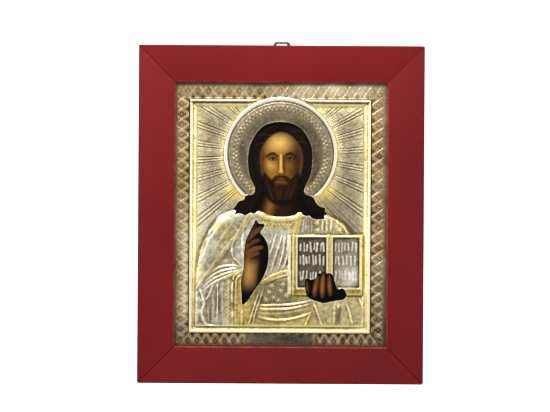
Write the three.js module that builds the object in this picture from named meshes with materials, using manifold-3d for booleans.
// A framed icon: a painted wooden board under an embossed metal cover, in a mitred wooden frame.
// Millimetres, +Z up. The picture faces -Y and the back lies in the plane y = 0.
// The origin is on the back of the top rail, midway along it.

import * as THREE from 'three';
import Module from 'manifold-3d';
import { mergeVertices } from 'three/addons/utils/BufferGeometryUtils.js';

const wasm = await Module();
wasm.setup();

// The icon board, in the rebate of its frame
const boardWidth = 179;
const boardHeight = 221;
const boardThickness = 18;
const boardClearance = 0.75;
const seatGap = 0.3;

// The frame
const railWidth = 29.7;
const frameDepth = 30;
const lipThickness = 5;
const lipCover = 4.7;
const lipChamfer = 0.8;
const outerRound = 1.2;
const mitreGap = 0.3;

// The hanger, let into the back of the top rail
const mountStrip = 10;
const recessWidth = 36;
const recessDepth = 5;
const plateWidth = 31;
const plateHeight = 9;
const plateThickness = 1.2;
const plateSetback = 1.5;
const earWidth = 14;
const earRise = 4.6;
const eyeWidth = 8.6;
const eyeHeight = 7.6;
const eyeBar = 1.7;
const screwEdge = 4.5;
const screwSpacing = plateWidth - 2 * screwEdge;
const screwShank = 2.4;
const screwHead = 5;
const screwHeadHeight = 1.5;
const screwLength = 8;
const screwClearance = 0.3;

// The four points that hold the board in its rebate
const pointWidth = 9;
const pointThickness = 0.6;
const pointGrip = 5;
const pointReach = 8;
const pointsPerSide = 2;
const pointClearance = 0.3;

// The metal cover: a sheet over the whole face, with a moulding set in from its edges
const coverThickness = 1;
const mouldingInset = { left: 15.5, right: 17, top: 17.7, bottom: 15 };
const mouldingWidth = 3.4;
const mouldingHeight = 1.9;
const bevelWidth = 2.8;
const bevelHeight = 1.1;

// The halo, a disc with a raised rim laid on the cover
const haloRadius = 46;
const haloCentreHeight = 48.5;
const haloCentreAcross = -0.5;
const haloPlate = 0.6;
const haloRimWidth = 3.5;
const haloRimHeight = 2.2;
const haloBandInner = 34.5;
const haloBandOuter = 38.6;
const haloBandHeight = 1.2;
const haloGap = 2.2;

// The figure is drawn in millimetres for a field of this height, and follows the field's real height
const drawnFieldHeight = 176;
const figureHeight = 2.2;
const figureRoll = 9;
const bookHeight = 3.6;
const bookSlope = 0.6;
const pageDepth = 1.2;

// How finely the relief is cut into facets
const coarseCell = 9.2;
const finestShare = 4;
const facetTolerance = 0.22;
const outlineSteps = 2;
const haloFacets = 60;
const rimFacets = 5;
const cornerFacets = 4;
const screwFacets = 12;

// Planes and corners that several pieces share
const rebateWidth = boardWidth / 2 + boardClearance;
const rebateHeight = boardHeight / 2 + boardClearance;
const sightWidth = boardWidth / 2 - lipCover;
const sightHeight = boardHeight / 2 - lipCover;
const lipBack = -(frameDepth - lipThickness);
const coverFront = lipBack + seatGap;
const coverBack = coverFront + coverThickness;
const boardFront = coverBack + seatGap;
const boardBack = boardFront + boardThickness;
const mountHeight = rebateHeight + mountStrip / 2;
const frameTop = sightHeight + railWidth;
const recessBottom = rebateHeight + mountStrip;

// The field inside the moulding, and the drawing's scale on it
const mouldingBox = {
  left: mouldingInset.left - boardWidth / 2,
  right: boardWidth / 2 - mouldingInset.right,
  bottom: mouldingInset.bottom - boardHeight / 2,
  top: boardHeight / 2 - mouldingInset.top,
};
const fieldHeight = mouldingBox.top - mouldingBox.bottom - 2 * (mouldingWidth + bevelWidth);
const drawingScale = fieldHeight / drawnFieldHeight;

const redPaint = new THREE.MeshStandardMaterial({ color: 0x86282c, roughness: 0.5, metalness: 0 });
const oldPanel = new THREE.MeshStandardMaterial({ color: 0x4a2e1c, roughness: 0.6, metalness: 0 });
const giltSilver = new THREE.MeshStandardMaterial({ color: 0xc9b987, roughness: 0.35, metalness: 1 });
const silver = new THREE.MeshStandardMaterial({ color: 0xbdb6a4, roughness: 0.35, metalness: 1 });
const darkSteel = new THREE.MeshStandardMaterial({ color: 0x57483a, roughness: 0.45, metalness: 0.9 });

function solidFrom(geometry) {
  const bare = geometry.index ? geometry.toNonIndexed() : geometry.clone();
  bare.deleteAttribute('normal');
  bare.deleteAttribute('uv');
  const merged = mergeVertices(bare, 1e-4);
  return new wasm.Manifold(new wasm.Mesh({
    numProp: 3,
    vertProperties: new Float32Array(merged.attributes.position.array),
    triVerts: new Uint32Array(merged.index.array),
  }));
}

function geometryFrom(solid) {
  const mesh = solid.getMesh();
  const geometry = new THREE.BufferGeometry();
  geometry.setAttribute('position', new THREE.BufferAttribute(mesh.vertProperties, 3));
  geometry.setIndex(new THREE.BufferAttribute(mesh.triVerts, 1));
  return geometry;
}

function addPiece(parent, name, geometry, material) {
  const mesh = new THREE.Mesh(geometry, material.clone());
  mesh.name = name;
  parent.add(mesh);
  return mesh;
}

const icon = new THREE.Group();
icon.position.z = -mountHeight;

// The rails: one L-shaped section, its ends sheared to a mitre

function railSection() {
  const rebate = rebateWidth - sightWidth;
  const section = new THREE.Shape();
  section.moveTo(0, -frameDepth + lipChamfer);
  section.lineTo(lipChamfer, -frameDepth);
  section.lineTo(railWidth - outerRound, -frameDepth);
  section.absarc(railWidth - outerRound, -frameDepth + outerRound, outerRound, -Math.PI / 2, 0);
  section.lineTo(railWidth, 0);
  section.lineTo(rebate, 0);
  section.lineTo(rebate, lipBack);
  section.lineTo(0, lipBack);
  section.closePath();
  return section;
}

function railGeometry(sightLength) {
  const geometry = new THREE.ExtrudeGeometry(railSection(), { depth: 1, bevelEnabled: false, curveSegments: 3 });
  const places = geometry.attributes.position;
  for (let i = 0; i < places.count; i += 1) {
    const outward = places.getX(i);
    const end = places.getZ(i) > 0.5 ? 1 : -1;
    const reach = sightLength / 2 + outward - mitreGap / Math.SQRT2;
    places.setXYZ(i, -end * reach, places.getY(i), outward);
  }
  return geometry;
}

function block(width, depth, height, x, y, z) {
  return solidFrom(new THREE.BoxGeometry(width, depth, height).translate(x, y, z));
}

// Where the points enter a side rail, measured along the rail and out from the opening
const pointPlace = (boardBack + seatGap) + pointThickness / 2;
const pointStep = boardHeight / pointsPerSide;

function pointOffsets() {
  const offsets = [];
  for (let i = 0; i < pointsPerSide; i += 1) offsets.push((i - (pointsPerSide - 1) / 2) * pointStep);
  return offsets;
}

function sideRail() {
  let rail = solidFrom(railGeometry(2 * sightHeight));
  const rebate = rebateWidth - sightWidth;
  const slotDepth = pointGrip + pointClearance;
  for (const offset of pointOffsets()) {
    rail = rail.subtract(block(
      pointWidth + 2 * pointClearance, pointThickness + 2 * pointClearance, 2 * slotDepth,
      offset, pointPlace, rebate,
    ));
  }
  return geometryFrom(rail);
}

function topRail() {
  const recessTop = frameTop - sightHeight;
  const recessHeight = frameTop - recessBottom;
  let rail = solidFrom(railGeometry(2 * sightWidth));
  rail = rail.subtract(block(
    recessWidth, 2 * recessDepth, 2 * recessHeight,
    0, 0, recessTop,
  ));
  for (const side of [-1, 1]) {
    const pilot = new THREE.CylinderGeometry(
      screwShank / 2 + screwClearance, screwShank / 2 + screwClearance,
      2 * (screwLength + screwClearance), screwFacets);
    pilot.translate(side * screwSpacing / 2, -recessDepth, screwHeight - sightHeight);
    rail = rail.subtract(solidFrom(pilot));
  }
  return geometryFrom(rail);
}

const plateBottom = recessBottom + plateSetback;
const screwHeight = plateBottom + plateHeight / 2;

addPiece(icon, 'frame_rail_top', topRail(), redPaint).position.z = sightHeight;
const bottomRail = addPiece(icon, 'frame_rail_bottom', railGeometry(2 * sightWidth), redPaint);
bottomRail.position.z = -sightHeight;
bottomRail.rotation.y = Math.PI;
for (const [name, side] of [['frame_rail_left', -1], ['frame_rail_right', 1]]) {
  const rail = addPiece(icon, name, sideRail(), redPaint);
  rail.position.x = side * sightWidth;
  rail.rotation.y = side * Math.PI / 2;
}

// The board
const board = addPiece(icon, 'icon_board',
  new THREE.BoxGeometry(boardWidth, boardThickness, boardHeight), oldPanel);
board.position.y = (boardFront + boardBack) / 2;

// The points: thin tabs pressed into the side rails, just behind the board
for (const side of [-1, 1]) {
  pointOffsets().forEach((offset, i) => {
    const name = `retaining_point_${side < 0 ? 'left' : 'right'}_${i + 1}`;
    const length = pointGrip + boardClearance + pointReach;
    const point = addPiece(icon, name,
      new THREE.BoxGeometry(length, pointThickness, pointWidth), darkSteel);
    point.position.set(side * (rebateWidth + pointGrip - length / 2), pointPlace, offset);
  });
}

// The hanger: a stamped plate with an eye that stands above the frame, and its two screws

function hangerOutline() {
  const shoulder = (earWidth - eyeWidth) / 2;
  const plateTop = plateBottom + plateHeight;
  const earTop = frameTop + earRise;
  const corner = 2;
  const outline = new THREE.Shape();
  outline.moveTo(-plateWidth / 2 + corner, plateBottom);
  outline.lineTo(plateWidth / 2 - corner, plateBottom);
  outline.absarc(plateWidth / 2 - corner, plateBottom + corner, corner, -Math.PI / 2, 0);
  outline.lineTo(plateWidth / 2, plateTop - corner);
  outline.absarc(plateWidth / 2 - corner, plateTop - corner, corner, 0, Math.PI / 2);
  outline.lineTo(earWidth / 2, plateTop);
  outline.lineTo(earWidth / 2, earTop - shoulder);
  outline.absarc(earWidth / 2 - shoulder, earTop - shoulder, shoulder, 0, Math.PI / 2);
  outline.lineTo(-earWidth / 2 + shoulder, earTop);
  outline.absarc(-earWidth / 2 + shoulder, earTop - shoulder, shoulder, Math.PI / 2, Math.PI);
  outline.lineTo(-earWidth / 2, plateTop);
  outline.lineTo(-plateWidth / 2 + corner, plateTop);
  outline.absarc(-plateWidth / 2 + corner, plateTop - corner, corner, Math.PI / 2, Math.PI);
  outline.lineTo(-plateWidth / 2, plateBottom + corner);
  outline.absarc(-plateWidth / 2 + corner, plateBottom + corner, corner, Math.PI, 1.5 * Math.PI);

  const eyeTop = earTop - eyeBar;
  const eyeCorner = 1.2;
  const eye = new THREE.Path();
  eye.moveTo(-eyeWidth / 2, eyeTop - eyeHeight);
  eye.lineTo(-eyeWidth / 2, eyeTop - eyeCorner);
  eye.absarc(-eyeWidth / 2 + eyeCorner, eyeTop - eyeCorner, eyeCorner, Math.PI, Math.PI / 2, true);
  eye.lineTo(eyeWidth / 2 - eyeCorner, eyeTop);
  eye.absarc(eyeWidth / 2 - eyeCorner, eyeTop - eyeCorner, eyeCorner, Math.PI / 2, 0, true);
  eye.lineTo(eyeWidth / 2, eyeTop - eyeHeight);
  eye.closePath();
  outline.holes.push(eye);

  for (const side of [-1, 1]) {
    const hole = new THREE.Path();
    hole.absarc(side * screwSpacing / 2, screwHeight, screwShank / 2 + screwClearance, 0, 2 * Math.PI, true);
    outline.holes.push(hole);
  }
  return outline;
}

// ExtrudeGeometry builds along +Z; a quarter turn about X stands its outline up and sends it towards -Y
function standing(outline, thickness, curveSegments, backPlane) {
  const geometry = new THREE.ExtrudeGeometry(outline, { depth: thickness, bevelEnabled: false, curveSegments });
  return geometry.rotateX(Math.PI / 2).translate(0, backPlane, 0);
}

const plateFront = -recessDepth + seatGap;
addPiece(icon, 'hanger_plate',
  standing(hangerOutline(), plateThickness, cornerFacets, plateFront + plateThickness), darkSteel);

function screwGeometry() {
  const headBase = plateFront + plateThickness + screwClearance;
  const profile = [
    new THREE.Vector2(0, headBase - screwLength),
    new THREE.Vector2(screwShank / 4, headBase - screwLength + screwShank / 2),
    new THREE.Vector2(screwShank / 2, headBase - screwLength + screwShank),
    new THREE.Vector2(screwShank / 2, headBase),
    new THREE.Vector2(screwHead / 2, headBase),
    new THREE.Vector2(screwHead / 2, headBase + screwHeadHeight / 3),
    new THREE.Vector2(screwHead / 3, headBase + screwHeadHeight * 0.85),
    new THREE.Vector2(0, headBase + screwHeadHeight),
  ];
  return new THREE.LatheGeometry(profile, screwFacets);
}

for (const [name, side] of [['hanger_screw_left', -1], ['hanger_screw_right', 1]]) {
  addPiece(icon, name, screwGeometry(), darkSteel)
    .position.set(side * screwSpacing / 2, 0, screwHeight);
}

// The drawing on the cover, in its own millimetres: across from the middle, and up from the board's centre.
// Each outline and fold is a smooth curve through a few points.

const headOpening = [
  [0.5, 74.5], [15, 69.8], [23.5, 57], [25, 44], [23.8, 33], [18.6, 19.6], [19.6, 16.6], [25.5, 14.2],
  [28.5, 9.3], [31, 6.8], [35.6, 5.2], [35.2, 3], [37.4, 0.7], [34.8, -0.8], [35.2, -2.8], [33.2, -3.5],
  [27.4, -3.5], [24.8, -2.6], [23.2, -0.9], [19.8, -1], [17.2, 0.4], [15.4, 2.2], [10, -0.6], [0.6, -1.8],
  [-5, -1.5], [-12.9, 0.9], [-17.8, 2.8], [-21.4, 0.8], [-24.7, 1.1], [-28.3, -0.6], [-33.2, 0.9],
  [-37.2, 0], [-36.2, 2.5], [-38.5, 4], [-36.4, 6.7], [-34, 10.3], [-29.8, 11.9], [-28.3, 14.9],
  [-22.4, 16.4], [-21, 21], [-25, 30], [-26.8, 44], [-24.5, 57], [-15, 70.5],
];
const blessingHandOpening = [
  [-19.8, -4.3], [-17.8, -7], [-13.1, -7.9], [-14.1, -10.8], [-16.3, -14.5], [-13.3, -18.4], [-10.6, -23.6],
  [-9.7, -31], [-10.3, -40.4], [-14.1, -50.7], [-19.4, -58.8], [-30.2, -72.6], [-31.2, -65], [-31.6, -53],
  [-29.8, -43.6], [-29.4, -31.7], [-28, -20.6], [-25.1, -14.3], [-22, -7.8],
];
const bookHandOpening = [
  [20.1, -51.4], [22.1, -50.8], [24.2, -52], [27.6, -51.2], [29.7, -47.1], [32.2, -46.8], [34.6, -45.1],
  [36.9, -46.6], [39.8, -46.6], [41.9, -48.5], [43.4, -53.5], [46, -59], [49.8, -58.9], [52.2, -61.4],
  [52.9, -64.4], [50.9, -67.6], [46.7, -68.4], [40.5, -69.5], [34.4, -70.7], [29.1, -69.3], [22.8, -66.8],
  [20.6, -63.6], [19.6, -58.3], [19.3, -53.8],
];
const bodyOutline = [
  [0, 8], [-36, 4], [-45, 1.2], [-52, -3], [-58, -12], [-63, -22], [-66.5, -33], [-69, -48], [-70, -66],
  [-70, -98], [0, -98], [72, -98], [72, -66], [66, -58], [60, -17], [56.5, -13.5], [52, -7], [44, -2],
  [36, 0.5],
];
const book = { left: 8.5, right: 66, top: -15.5, bottom: -65 };
const pages = [{ left: 13.6, right: 36.6 }, { left: 41.8, right: 63 }];
const pageTop = -18;
const pageBottom = -58.5;

function mixCurves(first, last, share) {
  return first.map(([u, w], i) => [u + (last[i][0] - u) * share, w + (last[i][1] - w) * share]);
}

function fan(first, last, count, width, height) {
  const made = [];
  for (let i = 0; i < count; i += 1) {
    made.push({ points: mixCurves(first, last, count > 1 ? i / (count - 1) : 0), width, height });
  }
  return made;
}

const folds = [
  // The sleeve drawn up to the cuff of the raised arm
  ...fan([[-30, -42.5], [-40, -41], [-49, -42.5], [-57, -48]], [[-30, -45], [-41, -50], [-53, -57], [-64, -66]],
    3, 2.9, 1.5),
  // The sleeve hanging from it
  ...fan([[-50.5, -55], [-50.5, -70], [-50.5, -87]], [[-59, -60], [-63.5, -71], [-62.5, -87]], 3, 2.7, 1.4),
  // The front edge of the hanging sleeve
  { points: [[-31, -46], [-36, -49], [-37, -60], [-37, -91]], width: 2.7, height: 1.3 },
  { points: [[-30.8, -76], [-30.8, -91]], width: 2.4, height: 1.1 },
  // Soft folds over the upper arm
  ...fan([[-37, -6], [-49, -22], [-59, -40]], [[-46, -5], [-58, -21], [-65, -40]], 2, 3.4, 0.9),
  // The cloth between the diagonal band and the hand
  ...fan([[-29, -5], [-31, -18], [-31.5, -31]], [[-33, -11], [-39, -24], [-38, -37]], 2, 2.4, 1),
  { points: [[-39, -36], [-35, -39.5], [-30.5, -42]], width: 2.4, height: 1.2 },
  // The tunic below its collar
  ...fan([[-3, -12], [-5.5, -26], [-8, -44]], [[7, -12], [6, -28], [1, -46]], 3, 2.5, 1.2),
  // The mantle beside the book and over the far shoulder
  ...fan([[19, -2], [19.5, -15]], [[25, -4], [25.5, -15]], 2, 2.4, 1),
  ...fan([[34, -5], [34, -15]], [[41, -3], [40, -15]], 2, 2.4, 1),
  { points: [[42, -3], [49, -8], [52, -15]], width: 2.8, height: 1.2 },
  // The mantle's upper hem across the waist
  { points: [[-14, -54], [-7, -49.5], [0, -46.5], [7, -45.5]], width: 2.8, height: 1.4 },
  // Rolled folds across the lap
  ...fan([[-21, -72.5], [0, -72], [25, -69]], [[-20, -82], [0, -84], [26, -76.5]], 3, 2.9, 1.6),
  // Folds that fall from the lap
  { points: [[-16, -60], [-21, -75], [-26, -91]], width: 2.8, height: 1.3 },
  { points: [[25, -77], [20, -91]], width: 2.5, height: 1 },
  ...fan([[28, -71], [31.5, -80], [34.5, -91]], [[59, -68], [62, -78], [62.5, -91]], 4, 2.7, 1.2),
];

// Flat trims that stand a little above the cloth
const bands = [
  { points: [[-25, -1], [-33, -14], [-43, -27], [-53, -40], [-67, -58]], width: 2.4, height: 0.4 },
  { points: [[15.5, 0], [13, -8], [12, -16]], width: 2, height: 0.4 },
  { points: [[-17, 0.5], [-9, -3], [0, -4], [10, -3], [16, -1]], width: 1.8, height: 0.4 },
  { points: [[-42, -52], [-42, -91]], width: 2.2, height: 0.3 },
];

// Broad swellings of the body under the cloth
const swellings = [
  { centre: [-54, -20], reach: [13, 26], height: 1.1 },
  { centre: [40, -10], reach: [17, 10], height: 0.6 },
  { centre: [0, -62], reach: [18, 9], height: 0.7 },
  { centre: [-50, -66], reach: [14, 22], height: 0.6 },
  { centre: [48, -80], reach: [16, 12], height: 0.5 },
];

function smooth(from, to, value) {
  const t = Math.min(1, Math.max(0, (value - from) / (to - from)));
  return t * t * (3 - 2 * t);
}

function distanceToSegment(u, w, a, b) {
  const du = b[0] - a[0];
  const dw = b[1] - a[1];
  const along = Math.min(1, Math.max(0, ((u - a[0]) * du + (w - a[1]) * dw) / (du * du + dw * dw)));
  return { along, distance: Math.hypot(u - a[0] - along * du, w - a[1] - along * dw) };
}

function sampled(stroke, steps) {
  const curve = new THREE.SplineCurve(stroke.points.map(([u, w]) => new THREE.Vector2(u, w)));
  return { ...stroke, path: curve.getPoints(steps).map((point) => [point.x, point.y]) };
}

const foldPaths = folds.map((fold) => sampled(fold, 9));
const bandPaths = bands.map((band) => sampled(band, 9));

// Distance to a stroke, and how far along it the nearest place is
function nearest(stroke, u, w) {
  let best = { distance: Infinity, share: 0 };
  const last = stroke.path.length - 1;
  for (let i = 0; i < last; i += 1) {
    const { along, distance } = distanceToSegment(u, w, stroke.path[i], stroke.path[i + 1]);
    if (distance < best.distance) best = { distance, share: (i + along) / last };
  }
  return best;
}

function foldRelief(u, w) {
  let height = 0;
  for (const fold of foldPaths) {
    const { distance, share } = nearest(fold, u, w);
    if (distance >= fold.width) continue;
    const taper = smooth(0, 0.15, share) * smooth(1, 0.9, share) * 0.7 + 0.3;
    height = Math.max(height, fold.height * taper * Math.cos(distance / fold.width * Math.PI / 2) ** 2);
  }
  return height;
}

function bandRelief(u, w) {
  let height = 0;
  for (const band of bandPaths) {
    height = Math.max(height, band.height * smooth(band.width, band.width - 0.7, nearest(band, u, w).distance));
  }
  return height;
}

// Depth inside a closed outline, or zero outside it
function depthInside(outline, u, w) {
  let inside = false;
  let depth = Infinity;
  for (let i = 0; i < outline.length; i += 1) {
    const a = outline[i];
    const b = outline[(i + 1) % outline.length];
    if ((a[1] > w) !== (b[1] > w) && u < (b[0] - a[0]) * (w - a[1]) / (b[1] - a[1]) + a[0]) inside = !inside;
    depth = Math.min(depth, distanceToSegment(u, w, a, b).distance);
  }
  return inside ? depth : 0;
}

function swell(u, w) {
  let height = 0;
  for (const { centre, reach, height: top } of swellings) {
    const far = ((u - centre[0]) / reach[0]) ** 2 + ((w - centre[1]) / reach[1]) ** 2;
    height += top * Math.exp(-far);
  }
  return height;
}

function figureRelief(u, w) {
  const depth = depthInside(bodyOutline, u, w);
  if (depth === 0) return 0;
  const rolled = Math.sqrt(1 - (1 - Math.min(1, depth / figureRoll)) ** 2);
  return rolled * (figureHeight + swell(u, w)) + smooth(0, 2, depth) * (foldRelief(u, w) + bandRelief(u, w));
}

// The moulding's section, from its outer edge inwards: a faceted bead, then a bevel down to the field
const mouldingProfile = [
  [0, 0], [mouldingWidth * 0.2, mouldingHeight * 0.75], [mouldingWidth / 2, mouldingHeight],
  [mouldingWidth * 0.8, mouldingHeight * 0.85], [mouldingWidth, bevelHeight], [mouldingWidth + bevelWidth, 0],
];

function alongProfile(profile, inside) {
  if (inside <= 0 || inside >= profile[profile.length - 1][0]) return 0;
  const i = profile.findIndex(([place]) => place > inside);
  const [fromPlace, fromHeight] = profile[i - 1];
  const [toPlace, toHeight] = profile[i];
  return fromHeight + (toHeight - fromHeight) * (inside - fromPlace) / (toPlace - fromPlace);
}

// How far a place lies inside the moulding's outer edge
function insideMoulding(x, z) {
  return Math.min(x - mouldingBox.left, mouldingBox.right - x, z - mouldingBox.bottom, mouldingBox.top - z);
}

function fromHaloCentre(x, z) {
  return Math.hypot(x - haloCentreAcross, z - haloCentreHeight);
}

function mouldingRelief(x, z) {
  const inside = insideMoulding(x, z);
  const clearOfHalo = smooth(0, haloGap, fromHaloCentre(x, z) - haloRadius - seatGap);
  return clearOfHalo * alongProfile(mouldingProfile, inside);
}

// The relief above the sheet's plain front. The figure stops at the bevel, and the halo needs a flat seat.
function coverRelief(x, z) {
  const inField = smooth(mouldingWidth + bevelWidth * 0.4, mouldingWidth + bevelWidth, insideMoulding(x, z));
  const underHalo = fromHaloCentre(x, z) < haloRadius + seatGap && z > haloFoot - seatGap;
  if (underHalo) return 0;
  return Math.max(mouldingRelief(x, z), inField * figureRelief(x / drawingScale, z / drawingScale));
}

const haloFoot = 15.4 * drawingScale;

// The relief's surface: a grid whose lines follow the moulding, each cell halved where its facets would show.
// A cell that meets finer neighbours is a fan about its middle.

function gridLines(low, high, stops) {
  const lines = [low];
  for (const stop of [...stops, high]) {
    const from = lines[lines.length - 1];
    const isMargin = from === low || stop === high;
    const count = isMargin ? 1 : Math.max(1, Math.round((stop - from) / coarseCell));
    for (let i = 1; i <= count; i += 1) lines.push(from + (stop - from) * i / count);
  }
  return lines;
}

function mouldingStops(low, high) {
  const steps = mouldingProfile.map(([place]) => place);
  return [...steps.map((step) => low + step), ...steps.map((step) => high - step).reverse()];
}

function reliefSurface() {
  const xLines = gridLines(-boardWidth / 2, boardWidth / 2, mouldingStops(mouldingBox.left, mouldingBox.right));
  const zLines = gridLines(-boardHeight / 2, boardHeight / 2, mouldingStops(mouldingBox.bottom, mouldingBox.top));
  const cells = finestShare;
  const onLines = (lines, step) => {
    const i = Math.min(lines.length - 2, Math.floor(step / cells));
    return lines[i] + (lines[i + 1] - lines[i]) * (step / cells - i);
  };
  const place = (a, b) => [onLines(xLines, a), onLines(zLines, b)];
  const leaves = [];

  const isRough = (a, b, size) => {
    const corner = (i, j) => coverRelief(...place(a + i * size, b + j * size));
    const [c00, c10, c01, c11] = [corner(0, 0), corner(1, 0), corner(0, 1), corner(1, 1)];
    const samples = 4;
    for (let i = 0; i <= samples; i += 1) {
      for (let j = 0; j <= samples; j += 1) {
        const s = i / samples;
        const t = j / samples;
        const flat = (c00 * (1 - s) + c10 * s) * (1 - t) + (c01 * (1 - s) + c11 * s) * t;
        if (Math.abs(corner(s, t) - flat) > facetTolerance) return true;
      }
    }
    return false;
  };
  const split = (a, b, size) => {
    if (size > 1 && isRough(a, b, size)) {
      const half = size / 2;
      for (const i of [0, half]) for (const j of [0, half]) split(a + i, b + j, half);
    } else {
      leaves.push({ a, b, size });
    }
  };
  for (let i = 0; i < xLines.length - 1; i += 1) {
    for (let j = 0; j < zLines.length - 1; j += 1) split(i * cells, j * cells, cells);
  }
  return { leaves, place, across: (xLines.length - 1) * cells, up: (zLines.length - 1) * cells };
}

function coverBlank() {
  const { leaves, place, across, up } = reliefSurface();
  const points = [];
  const indices = [];
  const front = new Map();
  const key = (a, b) => `${a},${b}`;
  const addPoint = (x, y, z) => points.push([x, y, z]) - 1;
  const addFront = (a, b) => {
    const [x, z] = place(a, b);
    return addPoint(x, coverFront - coverRelief(x, z), z);
  };
  for (const { a, b, size } of leaves) {
    for (const [i, j] of [[0, 0], [size, 0], [size, size], [0, size]]) {
      if (!front.has(key(a + i, b + j))) front.set(key(a + i, b + j), addFront(a + i, b + j));
    }
  }
  // The known points around a rectangle, in the order seen from the front
  const ring = (a, b, width, height) => {
    const found = [];
    const visit = (i, j) => {
      if (front.has(key(i, j))) found.push(front.get(key(i, j)));
    };
    for (let i = 0; i < width; i += 1) visit(a + i, b);
    for (let j = 0; j < height; j += 1) visit(a + width, b + j);
    for (let i = width; i > 0; i -= 1) visit(a + i, b + height);
    for (let j = height; j > 0; j -= 1) visit(a, b + j);
    return found;
  };
  for (const { a, b, size } of leaves) {
    const around = ring(a, b, size, size);
    if (around.length === 4) {
      // Four corners take the diagonal that passes nearer to the relief at the cell's middle
      const [p, q, r, s] = around;
      const level = coverFront - coverRelief(...place(a + size / 2, b + size / 2));
      const firstMiss = Math.abs((points[p][1] + points[r][1]) / 2 - level);
      const secondMiss = Math.abs((points[q][1] + points[s][1]) / 2 - level);
      if (firstMiss <= secondMiss) indices.push(p, q, r, p, r, s);
      else indices.push(p, q, s, q, r, s);
    } else {
      const middle = addFront(a + size / 2, b + size / 2);
      around.forEach((point, i) => indices.push(middle, point, around[(i + 1) % around.length]));
    }
  }
  const rim = ring(0, 0, across, up);
  const behind = rim.map((point) => addPoint(points[point][0], coverBack, points[point][2]));
  const backMiddle = addPoint(0, coverBack, 0);
  rim.forEach((point, i) => {
    const next = (i + 1) % rim.length;
    indices.push(point, behind[i], rim[next], rim[next], behind[i], behind[next]);
    indices.push(backMiddle, behind[next], behind[i]);
  });
  const geometry = new THREE.BufferGeometry();
  geometry.setAttribute('position', new THREE.Float32BufferAttribute(points.flat(), 3));
  geometry.setIndex(indices);
  return solidFrom(geometry);
}

// A cutter through the sheet in the shape of an opening
function openingCutter(outline) {
  const points = outline.map(([u, w]) => new THREE.Vector3(u * drawingScale, w * drawingScale, 0));
  const curve = new THREE.CatmullRomCurve3(points, true, 'centripetal');
  const shape = new THREE.Shape(curve.getPoints(outline.length * outlineSteps).slice(0, -1)
    .map((point) => new THREE.Vector2(point.x, point.y)));
  return solidFrom(standing(shape, 2 * frameDepth, 1, frameDepth / 2));
}

// A box in the drawing's millimetres, between two heights above the sheet's plain front
function reliefBlock({ left, right, top, bottom }, low, high, slope) {
  const s = drawingScale;
  const width = (right - left) * s;
  const tall = (top - bottom) * s;
  const shape = new THREE.Shape();
  shape.moveTo(-width / 2 + slope, -tall / 2 + slope);
  shape.lineTo(width / 2 - slope, -tall / 2 + slope);
  shape.lineTo(width / 2 - slope, tall / 2 - slope);
  shape.lineTo(-width / 2 + slope, tall / 2 - slope);
  shape.closePath();
  const geometry = new THREE.ExtrudeGeometry(shape, {
    depth: high - low - 2 * slope, bevelSegments: 1, bevelSize: slope, bevelThickness: slope,
  });
  geometry.rotateX(Math.PI / 2).translate((left + right) / 2 * s, coverFront - low - slope, (top + bottom) / 2 * s);
  return solidFrom(geometry);
}

function metalCover() {
  let cover = coverBlank().add(reliefBlock(book, -coverThickness / 2, bookHeight, bookSlope));
  for (const page of pages) {
    const hollow = { ...page, top: pageTop, bottom: pageBottom };
    cover = cover.subtract(reliefBlock(hollow, bookHeight - pageDepth, bookHeight + 2 * bookSlope, bookSlope));
  }
  for (const outline of [headOpening, blessingHandOpening, bookHandOpening]) {
    cover = cover.subtract(openingCutter(outline));
  }
  return geometryFrom(cover);
}

function haloProfile() {
  const rimMiddle = haloRadius - haloRimWidth / 2;
  const rimHalf = haloRimWidth / 2;
  const profile = [
    [0, 0], [haloRadius, 0], [haloRadius, haloPlate],
  ];
  for (let i = 1; i < rimFacets; i += 1) {
    const angle = Math.PI * i / rimFacets;
    profile.push([
      rimMiddle + rimHalf * Math.cos(angle), haloPlate + (haloRimHeight - haloPlate) * Math.sin(angle),
    ]);
  }
  profile.push(
    [haloRadius - haloRimWidth, haloPlate],
    [haloBandOuter, haloPlate * 1.2],
    [haloBandOuter - 0.5, haloBandHeight],
    [haloBandInner + 0.5, haloBandHeight],
    [haloBandInner, haloPlate * 1.2],
    [0, haloPlate],
  );
  return profile.map(([radius, height]) => new THREE.Vector2(radius, height));
}

function halo() {
  // The lathe turns about Y, so its heights already run along -Y once the disc is turned over
  const disc = new THREE.LatheGeometry(haloProfile(), haloFacets).rotateX(Math.PI)
    .translate(haloCentreAcross, coverFront - seatGap, haloCentreHeight);
  const below = block(4 * haloRadius, 2 * frameDepth, 2 * haloRadius, 0, coverFront, haloFoot - haloRadius);
  return geometryFrom(solidFrom(disc).subtract(openingCutter(headOpening)).subtract(below));
}

addPiece(icon, 'metal_cover', metalCover(), giltSilver);
addPiece(icon, 'halo', halo(), silver);

const part = new THREE.Group();
part.add(icon);
export default part;
